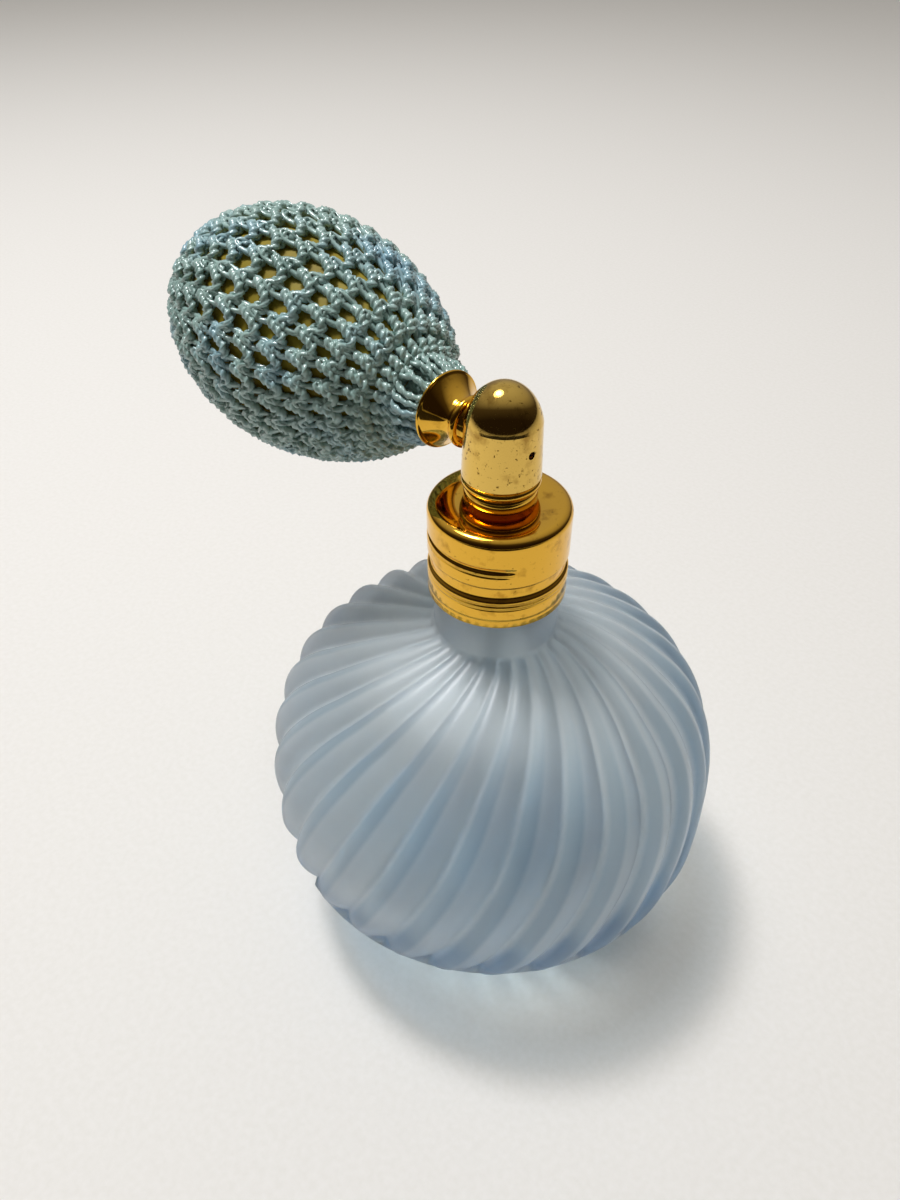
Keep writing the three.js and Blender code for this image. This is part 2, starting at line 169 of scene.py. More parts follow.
def add(tree, kind, settings=None, **inputs):
    """Adds a node. Settings are its own properties; an input is a value or another node's output."""
    made = tree.nodes.new(kind)
    for key, value in (settings or {}).items():
        setattr(made, key, value)
    for key, value in inputs.items():
        socket = made.inputs[int(key[1:])] if key[0] == "_" else made.inputs[key.replace("_", " ")]
        if isinstance(value, bpy.types.NodeSocket):
            tree.links.new(value, socket)
        else:
            socket.default_value = value
    return made


def ramp(tree, factor, *stops):
    """A colour ramp with (position, hex colour) stops."""
    made = add(tree, "ShaderNodeValToRGB", Fac=factor)
    elements = made.color_ramp.elements
    while len(elements) < len(stops):
        elements.new(0.5)
    for element, (position, code) in zip(elements, stops):
        element.position = position
        element.color = linear(code)
    return made.outputs["Color"]


def mixed(tree, blend, factor, first, second):
    """Two colours blended."""
    made = add(tree, "ShaderNodeMix", {"data_type": "RGBA", "blend_type": blend},
               _0=factor, _6=first, _7=second)
    return made.outputs[2]


def surface(tree, shader):
    """Sends a shader to the material's output."""
    add(tree, "ShaderNodeOutputMaterial", Surface=shader.outputs[0])


def acid_frosted_glass():
    """Pressed soda glass, tinted pale blue and etched in acid: milky, with painted shade in blue-grey bands
    on the steep side of each rib, standing in for the dark the ribs show by bending the light, and a bluer
    foot, where the glass is thick."""
    made, tree = material("acid_frosted_glass")
    where = add(tree, "ShaderNodeTexCoord").outputs["Object"]
    cloud = add(tree, "ShaderNodeTexNoise", Vector=where, Scale=55.0, Detail=3.0)
    milk = ramp(tree, cloud.outputs["Fac"], (0.3, "#e9eff1"), (0.7, "#fbfcfa"))
    painted_flank_shade = add(tree, "ShaderNodeAttribute", {"attribute_name": "painted_flank_shade"})
    # painted shade: the steep side of each rib is tinted blue-grey, standing in for the dark bands the ribs
    # make by bending light
    ribs = ramp(tree, painted_flank_shade.outputs["Fac"], (0.1, "#ffffff"), (0.9, "#cfdbe2"))
    height = add(tree, "ShaderNodeSeparateXYZ", Vector=where).outputs["Z"]
    waver = add(tree, "ShaderNodeMath", {"operation": "MULTIPLY_ADD"},
                _0=cloud.outputs["Fac"], _1=9 * MM, _2=height)
    depth = add(tree, "ShaderNodeMapRange", Value=waver.outputs[0], From_Min=10 * MM, From_Max=18 * MM)
    foot = ramp(tree, depth.outputs[0], (0.0, "#b4dcf6"), (0.75, "#cfe6f4"), (0.9, "#ffffff"))
    # the tint holds the random milkiness, the painted rib shade and the bluer foot
    tint = mixed(tree, "MULTIPLY", 1.0, mixed(tree, "MULTIPLY", 1.0, milk, ribs), foot)
    grain = add(tree, "ShaderNodeTexNoise", Vector=where, Scale=1800.0, Detail=2.0)
    bump = add(tree, "ShaderNodeBump", Strength=0.15, Distance=0.05 * MM, Height=grain.outputs["Fac"])
    glass = add(tree, "ShaderNodeBsdfPrincipled", Base_Color=tint, Roughness=0.4, IOR=1.48,
                Transmission_Weight=0.8, Normal=bump.outputs["Normal"])
    passing = add(tree, "ShaderNodeBsdfTransparent", Color=linear("#dddad6"))
    lamp_rays = add(tree, "ShaderNodeLightPath").outputs["Is Shadow Ray"]
    lit = add(tree, "ShaderNodeMixShader", Fac=lamp_rays, _1=glass.outputs[0], _2=passing.outputs[0])
    body = add(tree, "ShaderNodeVolumeAbsorption", Color=linear("#9ccdee"), Density=24.0)
    add(tree, "ShaderNodeOutputMaterial", Surface=lit.outputs[0], Volume=body.outputs[0])
    return made


def gold_plate(name, light, dark, roughness, wear):
    """Gold-plated brass, buffed bright: a warm mirror with dull freckles where the plate has worn."""
    made, tree = material(name)
    where = add(tree, "ShaderNodeTexCoord").outputs["Object"]
    patches = add(tree, "ShaderNodeTexNoise", Vector=where, Scale=320.0, Detail=5.0, Roughness=0.6)
    soft = ramp(tree, patches.outputs["Fac"], (0.2, "#a08c70"), (0.45, "#ffffff"))
    freckles = add(tree, "ShaderNodeTexNoise", Vector=where, Scale=1500.0, Detail=3.0, Roughness=0.7)
    worn = add(tree, "ShaderNodeMapRange", Value=freckles.outputs["Fac"], From_Min=0.62 - wear,
               From_Max=0.7 - wear)
    plate = mixed(tree, "MULTIPLY", 1.0, linear(light), soft)
    color = mixed(tree, "MIX", worn.outputs["Result"], plate, linear(dark))
    gloss = add(tree, "ShaderNodeMapRange", Value=worn.outputs["Result"], To_Min=roughness, To_Max=0.35)
    metal = add(tree, "ShaderNodeBsdfPrincipled", Base_Color=color, Metallic=1.0,
                Roughness=gloss.outputs["Result"])
    surface(tree, metal)
    return made


def plain_metal(name, code, roughness):
    """Turned or rolled metal with faint tool marks."""
    made, tree = material(name)
    where = add(tree, "ShaderNodeTexCoord").outputs["Object"]
    marks = add(tree, "ShaderNodeTexNoise", Vector=where, Scale=900.0, Detail=2.0)
    gloss = add(tree, "ShaderNodeMapRange", Value=marks.outputs["Fac"], To_Min=roughness * 0.7,
                To_Max=roughness * 1.4)
    metal = add(tree, "ShaderNodeBsdfPrincipled", Base_Color=linear(code), Metallic=1.0,
                Roughness=gloss.outputs["Result"])
    surface(tree, metal)
    return made


def plain_plastic(name, code, roughness):
    """Moulded plastic or rubber with a faint grain."""
    made, tree = material(name)
    where = add(tree, "ShaderNodeTexCoord").outputs["Object"]
    grain = add(tree, "ShaderNodeTexNoise", Vector=where, Scale=1200.0, Detail=2.0)
    bump = add(tree, "ShaderNodeBump", Strength=0.1, Distance=0.03 * MM, Height=grain.outputs["Fac"])
    shade = add(tree, "ShaderNodeBsdfPrincipled", Base_Color=linear(code), Roughness=roughness,
                Normal=bump.outputs["Normal"])
    surface(tree, shade)
    return made


def dipped_latex():
    """Dipped natural rubber, aged to yellow-olive: waxy, with soft blotches."""
    made, tree = material("dipped_latex")
    where = add(tree, "ShaderNodeTexCoord").outputs["Object"]
    blotches = add(tree, "ShaderNodeTexNoise", Vector=where, Scale=120.0, Detail=4.0)
    color = ramp(tree, blotches.outputs["Fac"], (0.3, "#847014"), (0.7, "#a3902a"))
    shade = add(tree, "ShaderNodeBsdfPrincipled", Base_Color=color, Roughness=0.6, Specular_IOR_Level=0.3)
    surface(tree, shade)
    return made


def rayon_thread():
    """Two-ply mercerised rayon, grey-blue with a green cast: silky, with bright glints on tight bends."""
    made, tree = material("rayon_thread")
    where = add(tree, "ShaderNodeTexCoord").outputs["Object"]
    drift = add(tree, "ShaderNodeTexNoise", Vector=where, Scale=90.0, Detail=3.0)
    color = ramp(tree, drift.outputs["Fac"], (0.3, "#8ba9a2"), (0.5, "#a3bfb8"), (0.7, "#94bac8"))
    fibres = add(tree, "ShaderNodeTexNoise", Vector=where, Scale=6000.0, Detail=1.0)
    bump = add(tree, "ShaderNodeBump", Strength=0.25, Distance=0.05 * MM, Height=fibres.outputs["Fac"])
    shade = add(tree, "ShaderNodeBsdfPrincipled", Base_Color=color, Roughness=0.2, Specular_IOR_Level=0.9,
                Sheen_Weight=0.2, Sheen_Roughness=0.4, Normal=bump.outputs["Normal"])
    surface(tree, shade)
    return made


# ---------------------------------------------------------------- bottle

RIB_COUNT = 28
RIB_DEPTH = 1.5 * MM
RIB_TWIST = 0.37  # turn of a rib for each radian of latitude
RIB_KICK = 0.5  # how much faster it turns high on the shoulder
KICK_LATITUDE = 0.75
RIB_PHASE = -0.034
RIB_LEAN = 0.84  # under 1 makes a rib's first side steeper than its second
RIB_STEPS = 14  # faces across each rib
RIB_ROUNDING = 0.0008  # keeps the valleys from coming to a knife edge
RIB_POWER = 0.85  # under 1 makes the ribs fuller
RIB_FADE = 0.25  # latitude over which the ribs rise from the foot
NECK_FADE = 0.7  # how much of the ribs is gone where they reach the neck
BELLY_HEIGHT = 25 * MM  # of the widest ring
SHOULDER_RISE = 30.2 * MM
BELLY_DROP = 27.5 * MM
SHOULDER_POWER = 2.85  # over 2 makes the shoulder squarer than an ellipse
GLASS_WALL = 4 * MM
GLASS_BASE = 6 * MM
NECK_RADIUS = 9.1 * MM
FINISH_RADIUS = 8.3 * MM  # of the neck where it is threaded
FINISH_FOOT = 64.4 * MM
FINISH_STEPS = 44
LIP_ROUNDING = 0.8 * MM
THREAD_FOOT = 67.4 * MM
THREAD_PITCH = 3.175 * MM
THREAD_TURNS = 1.5
THREAD_TAPER = 0.12  # turns over which each end dies away
THREAD_CREST = 0.42 * MM
FLARE_RISE = 3.4 * MM  # how far the shoulder sweeps up to meet the neck
FLARE_REACH = 26 * MM  # radius at which that sweep begins
FLARE_POWER = 1.15
FOOT_EDGE = 0.4 * MM


def belly_point(latitude, radius, rise, drop):
    """Radius and height of the egg-shaped body at a latitude, up or down from its widest ring."""
    across, along = math.cos(latitude), abs(math.sin(latitude))
    power = SHOULDER_POWER if latitude > 0 else 2
    reach = (across ** power + along ** power) ** (-1 / power)
    height = rise * along * reach if latitude > 0 else -drop * along * reach
    out = radius * across * reach
    sweep = max((FLARE_REACH - out) / (FLARE_REACH - NECK_RADIUS), 0) ** FLARE_POWER if latitude > 0 else 0
    return out, BELLY_HEIGHT + height + FLARE_RISE * sweep


def belly(lowest, highest, steps, radius, rise, drop):
    """Points up the body from one latitude to another."""
    return [belly_point(lowest + (highest - lowest) * i / steps, radius, rise, drop)
            for i in range(steps + 1)]


BASE_LATITUDE = -math.asin(BELLY_HEIGHT / BELLY_DROP)
NECK_LATITUDE = 1.304  # where the shoulder meets the neck
INSIDE_LATITUDES = (-1.2, 1.25)
BELLY_STEPS = 90


def neck_outline():
    """From the neck's foot up, over the lip and down the bore to the shoulder inside."""
    foot = belly_point(NECK_LATITUDE, BELLY_RADIUS, SHOULDER_RISE, BELLY_DROP)[1]
    neck = [(NECK_RADIUS + 0.15 * MM, foot + 0.25 * MM), (NECK_RADIUS, foot + 0.7 * MM),
            (NECK_RADIUS, 63.6 * MM)]
    low, high = FINISH_FOOT, LIP_HEIGHT - LIP_ROUNDING
    neck += [(FINISH_RADIUS, low + (high - low) * i / FINISH_STEPS) for i in range(FINISH_STEPS + 1)]
    lip = arc((FINISH_RADIUS - LIP_ROUNDING, LIP_HEIGHT - LIP_ROUNDING), LIP_ROUNDING, 0, 90, 5)
    bore = [(6.4 * MM, LIP_HEIGHT), (6 * MM, LIP_HEIGHT - 0.4 * MM), (6 * MM, 57 * MM),
            (6.6 * MM, 54.6 * MM)]
    return neck + lip + bore


def inside_outline():
    """The smooth inside of the glass, from the shoulder down to the middle of the bottom."""
    radius = BELLY_RADIUS - RIB_DEPTH - GLASS_WALL
    rise, drop = SHOULDER_RISE - GLASS_WALL, BELLY_HEIGHT - GLASS_BASE
    inside = belly(INSIDE_LATITUDES[0], INSIDE_LATITUDES[1], 30, radius, rise, drop)[::-1]
    return [(r, z - 1.2 * MM * smoothstep(z, 48 * MM, 54 * MM)) for r, z in inside] + [(0, GLASS_BASE)]


def thread_push(angle, height):
    """How far the screw thread stands out of the neck."""
    turns = (height - THREAD_FOOT) / THREAD_PITCH - angle / TURN
    off = (turns - round(turns)) * THREAD_PITCH / THREAD_CREST
    wound = round(turns) + angle / TURN
    ends = (smoothstep(wound, 0, THREAD_TAPER)
            * (1 - smoothstep(wound, THREAD_TURNS - THREAD_TAPER, THREAD_TURNS)))
    return THREAD_CREST * ends * math.exp(-off * off)


def swirl(latitude):
    """How far round a rib has turned at a latitude, in radians."""
    return RIB_TWIST * latitude + RIB_KICK * max(latitude - KICK_LATITUDE, 0) ** 2


def across_rib(angle, latitude):
    """Where a point lies across its rib, from 0 at one valley to 1 at the next."""
    return (angle - RIB_PHASE - swirl(latitude)) * RIB_COUNT / TURN % 1


def rib_push(along, latitude):
    """How far the mould's surface lies inside the crests: round ribs with sharp valleys between them."""
    across = math.sin(math.pi * along ** RIB_LEAN)
    crest = math.sqrt(across * across + RIB_ROUNDING) ** RIB_POWER
    fade = smoothstep(latitude, BASE_LATITUDE, BASE_LATITUDE + RIB_FADE)
    near_neck = 1 - NECK_FADE * smoothstep(latitude, KICK_LATITUDE, NECK_LATITUDE)
    return RIB_DEPTH * fade * near_neck * (1 - crest)


def make_bottle():
    """Spins the glass, then presses the swirled ribs into its outside and raises the thread on its neck.
    A float attribute on the outside paints shade on the steep side of each rib, for the glass's blue-grey
    bands."""
    base = [(0, 0.5 * MM), (12 * MM, 0.4 * MM), (13.6 * MM, 0)]
    outside = belly(BASE_LATITUDE, NECK_LATITUDE, BELLY_STEPS, BELLY_RADIUS, SHOULDER_RISE, BELLY_DROP)
    outside[0] = (outside[0][0] - FOOT_EDGE, 0)
    outline = base + outside + neck_outline() + inside_outline()
    bm = turned(outline, RIB_COUNT * RIB_STEPS)
    step = (NECK_LATITUDE - BASE_LATITUDE) / BELLY_STEPS
    rows = {rounded(point): BASE_LATITUDE + step * i for i, point in enumerate(outside)}
    painted_flank_shade = bm.verts.layers.float.new("painted_flank_shade")
    for vert in bm.verts:
        radius = math.hypot(vert.co.x, vert.co.y)
        latitude = rows.get(rounded((radius, vert.co.z)))
        if latitude is None:
            if abs(radius - FINISH_RADIUS) < 0.01 * MM:
                push = thread_push(math.atan2(vert.co.y, vert.co.x), vert.co.z) / radius
                vert.co += Vector((vert.co.x, vert.co.y, 0)) * push
            continue
        inward = Vector((-vert.co.x * math.cos(latitude) / radius, -vert.co.y * math.cos(latitude) / radius,
                         -math.sin(latitude)))
        along = across_rib(math.atan2(vert.co.y, vert.co.x), latitude)
        vert.co += inward * rib_push(along, latitude)
        # painted shade on the steep side of each rib, fading out up the shoulder to the neck
        painted_shade = smoothstep(along, 0, 0.14) * (1 - smoothstep(along, 0.34, 0.5))
        vert[painted_flank_shade] = painted_shade * (1 - smoothstep(latitude, 0.7, NECK_LATITUDE))
    piece = finished("frosted_bottle", bm, acid_frosted_glass(), "bottle")
    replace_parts(piece, "bottle", "neck")


def rounded(point):
    """A radius and height to the nearest hundredth of a millimetre."""
    return round(point[0] * 1e5), round(point[1] * 1e5)


# ---------------------------------------------------------------- collar, swivel ring and bead

def make_collar(gilt):
    """The screw cap: a thin drawn shell, rounded at the top, with its grooves rolled in."""
    side, wall, edge = COLLAR_RADIUS, 0.8 * MM, 1.3 * MM
    outline = [(side - wall, COLLAR_FOOT), (side - 0.12 * MM, COLLAR_FOOT), (side, COLLAR_FOOT + 0.12 * MM)]
    steps = 110
    low, high = COLLAR_FOOT + 0.12 * MM, COLLAR_TOP - edge
    outline += [(side, low + (high - low) * i / steps) for i in range(1, steps)]
    outline += arc((side - edge, high), edge, 0, 90, 10)
    outline += [(4.6 * MM, COLLAR_TOP), (4.2 * MM, COLLAR_TOP - 0.3 * MM), (3 * MM, COLLAR_TOP - 0.3 * MM),
                (3 * MM, COLLAR_TOP - 1 * MM), (side - wall, COLLAR_TOP - 1 * MM)]
    bm = turned(outline, 180)
    for vert in bm.verts:
        radius = math.hypot(vert.co.x, vert.co.y)
        if radius < side - 0.05 * MM or not low < vert.co.z < high:
            continue
        push = 1 - collar_groove(math.atan2(vert.co.y, vert.co.x), vert.co.z) / radius
        vert.co.x *= push
        vert.co.y *= push
    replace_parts(finished("screw_cap", bm, gilt, "collar"), "screw_collar")


def dip(height, centre, half_width):
    """1 in the middle of a groove, easing to 0 at its edges."""
    return 1 - smoothstep(abs(height - centre), 0, half_width)


def collar_groove(angle, height):
    """How deep the rolled thread and the beading lines are pressed in, in metres.
    The numbers are heights, half widths and depths in millimetres."""
    view = (angle + TURN / 8) / TURN  # turns from the front of the cap
    z = height / MM
    fade = smoothstep(0.06 - view, 0, 0.08)
    thread = (0.34 * dip(z, 74.8 - 1.2 * view, 0.6) + 0.12 * dip(z, 73.9 - 1.2 * view, 0.3)) * fade
    band = 0.5 * (smoothstep(z, 69.4, 70.1) - smoothstep(z, 71.5, 72.1))
    lines = 0.12 * dip(z, 68.9, 0.3) + 0.08 * dip(z, 68.2, 0.25) + 0.05 * dip(z, 66.2, 0.25)
    return (thread + band + lines) * MM


def make_swivel_ring(gilt):
    """The narrow ring that the head turns on."""
    top, foot = top_of("swivel_ring").z, COLLAR_TOP
    outline = [(3 * MM, foot), (SWIVEL_RADIUS, foot), (SWIVEL_RADIUS, top - 0.15 * MM),
               (SWIVEL_RADIUS - 0.15 * MM, top), (3 * MM, top)]
    piece = finished("swivel_post", turned(outline, 96), gilt, "closure")
    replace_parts(piece, "swivel_ring")


def make_bead(gilt):
    """The rolled bead at the foot of the head."""
    foot, top = foot_of("bead_ring").z, top_of("bead_ring").z
    middle, half = (foot + top) / 2, (top - foot) / 2
    outline = [(3 * MM, foot)] + arc((BEAD_RADIUS - half, middle), half, -90, 90, 12) + [(3 * MM, top)]
    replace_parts(finished("rolled_bead", turned(outline, 96), gilt, "head"), "bead_ring")


DOME_FOOT = 91.7 * MM
DOME_LEAN = math.radians(13)  # how far along its ellipse the dome starts, which leaves a crease


def dome(radius, foot, top):
    """The head's dome: an ellipse that meets the straight wall at a slight angle."""
    wide = radius / math.cos(DOME_LEAN)
    tall = (top - foot) / (1 - math.sin(DOME_LEAN))
    points = []
    for i in range(25):
        turn = DOME_LEAN + (TURN / 4 - DOME_LEAN) * i / 24
        points.append((wide * math.cos(turn), foot + tall * (math.sin(turn) - math.sin(DOME_LEAN))))
    points[-1] = (0, top)
    return points


def make_head(brass):
    """The domed shell, with the spray hole bored through its front."""
    radius, wall = 5.1 * MM, 0.45 * MM
    low = HEAD_FOOT + 0.1 * MM
    outline = [(radius - wall, HEAD_FOOT), (HEAD_FOOT_RADIUS - 0.1 * MM, HEAD_FOOT), (HEAD_FOOT_RADIUS, low)]
    rows = 40
    for i in range(1, rows):
        t = i / rows
        outline.append((HEAD_FOOT_RADIUS + (radius - HEAD_FOOT_RADIUS) * t, low + (DOME_FOOT - low) * t))
    outline += (dome(radius, DOME_FOOT, HEAD_TOP)
                + dome(radius - wall, DOME_FOOT, HEAD_TOP - wall)[::-1])
    bm = turned(outline, 160)
    for edge in bm.edges:
        if all(abs(vert.co.z - DOME_FOOT) < 1e-6 for vert in edge.verts):
            edge.smooth = False
    piece = finished("domed_head", bm, brass, "head")
    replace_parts(piece, "head_shell")
    drill(piece, "spray_drill", 0.55 * MM, 2 * MM, 8 * MM)


def drill(piece, name, radius, start, end):
    """Bores a hole along +X through a shell, and leaves the result as the piece's mesh."""
    bm = bmesh.new()
    bmesh.ops.create_cone(bm, cap_ends=True, segments=32, radius1=radius, radius2=radius, depth=end - start)
    bmesh.ops.rotate(bm, verts=bm.verts, cent=(0, 0, 0), matrix=Matrix.Rotation(math.pi / 2, 3, "Y"))
    bmesh.ops.translate(bm, verts=bm.verts, vec=((start + end) / 2, 0, AXIS_HEIGHT))
    mesh = bpy.data.meshes.new(name)
    bm.to_mesh(mesh)
    bm.free()
    tool = bpy.data.objects.new(name, mesh)
    bpy.context.scene.collection.objects.link(tool)
    cut = piece.modifiers.new("bore", "BOOLEAN")
    cut.operation = "DIFFERENCE"
    cut.object = tool
    bpy.context.view_layer.update()
    result = bpy.data.meshes.new_from_object(piece.evaluated_get(bpy.context.evaluated_depsgraph_get()))
    piece.modifiers.clear()
    piece.data = result
    bpy.data.objects.remove(tool)


def make_spigot(brass):
    """The tube that joins the head to the flare."""
    inner, outer = top_of("air_spigot").y * 0.4, top_of("air_spigot").y
    start, end = -top_of("air_spigot").x, -foot_of("air_spigot").x
    outline = [(inner, start), (outer, start), (outer, end), (inner, end)]
    piece = finished("spigot_tube", along_x(turned(outline, 64)), brass, "head")
    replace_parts(piece, "air_spigot")


def make_spigot_nut(gilt):
    """The half-round ring where the spigot leaves the head."""
    half = (NUT_END - NUT_START) / 2
    middle = NUT_START + half
    outline = ([(2 * MM, NUT_START)] + arc((NUT_RADIUS - half, middle), half, -90, 90, 10)
               + [(2 * MM, NUT_END)])
    piece = finished("spigot_ring", along_x(turned(outline, 80)), gilt, "head")
    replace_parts(piece, "spigot_nut")


def make_flare(gilt):
    """The trumpet that hides the bulb's mouth: thin sheet with a rolled rim."""
    rim, throat, bore, sheet = 0.25 * MM, 3 * MM, 1.75 * MM, 0.45 * MM
    outer = []
    for i in range(17):
        t = i / 16
        reach = FLARE_START + 0.6 * MM + (FLARE_END - FLARE_START - 1.1 * MM) * t
        outer.append((throat + (FLARE_RADIUS - rim - throat) * t ** 1.7, reach))
    inner = [(max(radius - sheet, bore), reach + 0.25 * MM) for radius, reach in outer[::-1]]
    outline = ([(bore, FLARE_START), (throat, FLARE_START)] + outer
               + arc((FLARE_RADIUS - rim, FLARE_END - rim), rim, -60, 110, 7) + inner)
    piece = finished("bulb_trumpet", along_x(turned(outline, 96)), gilt, "head")
    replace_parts(piece, "bulb_flare")


# ---------------------------------------------------------------- bulb

NET_MIDDLE = 43 * MM  # out from the head's axis to the net's widest ring
NET_MOUTH = 30.2 * MM  # from that ring back to where the net's curve would close at the flare
MOUTH_POWER = 1.8  # under 2 makes the mouth end more pointed than an ellipse
RUBBER_INSET = 1.7 * MM  # from the net's outside to the rubber's
RUBBER_WALL = 1.4 * MM
SPIGOT_GRIP = 1.95 * MM  # radius of the rubber's mouth inside


def net_radius(reach):
    """Radius of the net's outside at a distance out from the head's axis."""
    if reach > NET_MIDDLE:
        t = (reach - NET_MIDDLE) / (NET_END - NET_MIDDLE)
        return NET_RADIUS * math.sqrt(max(1 - t * t, 0))
    t = (NET_MIDDLE - reach) / NET_MOUTH
    return NET_RADIUS * max(1 - t ** MOUTH_POWER, 0) ** (1 / MOUTH_POWER)


def make_rubber(latex):
    """The bulb inside the net: a hollow egg with a mouth on the spigot and a hole for the valve."""
    outline = [(SPIGOT_GRIP, 8.3 * MM), (2.9 * MM, 8.3 * MM), (3 * MM, 13.6 * MM)]
    reach = 16.6 * MM
    while reach < NET_END - RUBBER_INSET - 2.4 * MM:
        outline.append((max(net_radius(reach) - RUBBER_INSET, 3.2 * MM), reach))
        reach += 1.5 * MM
    outline += [(3.3 * MM, NET_END - RUBBER_INSET), (3.2 * MM, NET_END - RUBBER_INSET - 1.6 * MM)]
    inner = [(radius - RUBBER_WALL, reach) for radius, reach in outline[3:-3][::-1]]
    outline += inner + [(SPIGOT_GRIP, 15.5 * MM)]
    piece = finished("latex_bulb", along_x(turned(outline, 96)), latex, "head")
    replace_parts(piece, "rubber_bulb")
    squeezed(piece)


STITCHES = 26  # in each round of the net
ROUNDS = 15
ARCH_RADIUS = 0.82 * MM  # of the doubled yarn that arches over the holes
YARN_RADIUS = 0.55 * MM
NET_INSET = 1.05 * MM  # the net's middle surface lies this far inside its outside
ROW_LEAN = -0.12  # how far each round is turned from the last, in stitches
TWIST_PITCH = 2.1 * MM  # length of one turn of the two plies
PLY_WAIST = 0.24  # depth of the groove between the two plies, as a share of the yarn's radius
LINK_RADIUS = 0.48 * MM
LINK_PITCH = 7 * MM  # the links are pulled tight, which opens their twist
FIRST_ROUND = 5 * MM  # along the net's outline from the flare
LAST_ROUND = 67.5 * MM
CROWDING = 0.02  # how far the rounds are shifted towards the ends
STITCH_SCATTER = 0.03
ROUND_WANDER = 0.06

# One stitch of each strand: how far round and how far along, in stitches and rounds, then how far
# off the net's middle surface, in yarn radii.
OUTER_STRAND = ((0, -0.1, 0.0), (0.2, -0.2, 0.8), (0.44, -0.14, 1.1), (0.62, 0.16, 1.1), (0.74, 0.42, 0.8),
                (0.88, 0.26, -0.3))
INNER_STRAND = ((0, 0.12, 0.2), (0.25, 0.05, -0.7), (0.5, -0.12, -0.6), (0.7, -0.16, 0.5), (0.85, -0.02, 1.1))
LINK = ((0.7, 0.1, -0.9), (0.64, 0.45, -0.3), (0.58, 0.82, 0.7), (0.64, 1.06, 1.5), (0.8, 1.1, 1.5),
        (0.94, 0.84, 0.8), (0.92, 0.45, -0.3), (0.84, 0.05, -0.9))


def yarn_section(name, radius, sides):
    """The two plies side by side, as a closed curve that is swept along the yarn."""
    curve = bpy.data.curves.new(name, "CURVE")
    curve.dimensions = "2D"
    spline = curve.splines.new("POLY")
    spline.points.add(sides - 1)
    for i, point in enumerate(spline.points):
        turn = TURN * i / sides
        ply = radius * (1 - PLY_WAIST + PLY_WAIST * math.cos(2 * turn))
        point.co = (ply * math.cos(turn), ply * math.sin(turn), 0, 1)
    spline.use_cyclic_u = True
    section = bpy.data.objects.new(name, curve)
    bpy.context.scene.collection.objects.link(section)
    return section


def twisted(name, paths, section, thread, pitch, cyclic):
    """Twisted yarn along lists of points, as one mesh."""
    curve = bpy.data.curves.new(name, "CURVE")
    curve.dimensions = "3D"
    curve.bevel_mode = "OBJECT"
    curve.bevel_object = section
    curve.use_fill_caps = not cyclic
    curve.twist_mode = "MINIMUM"
    for path in paths:
        spline = curve.splines.new("POLY")
        spline.points.add(len(path) - 1)
        travelled = 0
        for i, point in enumerate(path):
            if i:
                travelled += (point - path[i - 1]).length
            spline.points[i].co = (*point, 1)
            spline.points[i].tilt = TURN * (travelled / pitch % 1)
        spline.use_cyclic_u = cyclic
    holder = bpy.data.objects.new(name + "_path", curve)
    bpy.context.scene.collection.objects.link(holder)
    bpy.context.view_layer.update()
    mesh = bpy.data.meshes.new_from_object(holder.evaluated_get(bpy.context.evaluated_depsgraph_get()))
    bpy.data.objects.remove(holder)
    bm = bmesh.new()
    bm.from_mesh(mesh)
    bmesh.ops.recalc_face_normals(bm, faces=bm.faces)
    piece = finished(name, bm, thread, "head")
    squeezed(piece)
    return piece


def net_outline():
    """Distance travelled, reach and radius at points along the net's outside, flare to tail."""
    points = []
    travelled = 0
    steps = 600
    for i in range(steps + 1):
        reach = FLARE_END + (NET_END - FLARE_END) * math.sin(TURN / 4 * i / steps)
        radius = net_radius(reach)
        if points:
            travelled += math.hypot(reach - points[-1][1], radius - points[-1][2])
        points.append((travelled, reach, radius))
    return points


NET_OUTLINE = net_outline()


def around_axis(reach, radius, turn):
    """A point round the bulb's axis."""
    return Vector((-reach, radius * math.sin(turn), AXIS_HEIGHT + radius * math.cos(turn)))


def on_net(travelled, angle, lift):
    """A point on the net: how far along its outline, how far round, and how far off its surface."""
    i = min(max(bisect.bisect(NET_OUTLINE, (travelled,)), 1), len(NET_OUTLINE) - 1)
    start, end = NET_OUTLINE[i - 1], NET_OUTLINE[i]
    t = (travelled - start[0]) / (end[0] - start[0])
    slope = math.atan2(end[2] - start[2], end[1] - start[1])
    off = lift - NET_INSET
    reach = start[1] + (end[1] - start[1]) * t - off * math.sin(slope)
    radius = start[2] + (end[2] - start[2]) * t + off * math.cos(slope)
    return around_axis(reach, radius, angle)


def squeezed(piece):
    """Gives a soft piece a mesh of its own."""
    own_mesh(piece)


def smooth_path(knots, steps, cyclic):
    """A smooth line through the given points, with a number of steps between each two."""
    count = len(knots)
    path = []
    for i in range(count if cyclic else count - 1):
        places = [(i + k) % count if cyclic else min(max(i + k, 0), count - 1) for k in (-1, 0, 1, 2)]
        before, start, end, after = [knots[place] for place in places]
        for k in range(steps):
            t = k / steps
            path.append(0.5 * (2 * start + (end - before) * t
                               + (2 * before - 5 * start + 4 * end - after) * t ** 2
                               + (3 * start - before - 3 * end + after) * t ** 3))
    if not cyclic:
        path.append(knots[-1])
    return path


def round_place(row):
    """How far along the outline a round lies."""
    t = row / (ROUNDS - 1)
    return FIRST_ROUND + (LAST_ROUND - FIRST_ROUND) * (t - CROWDING * math.sin(TURN * t))


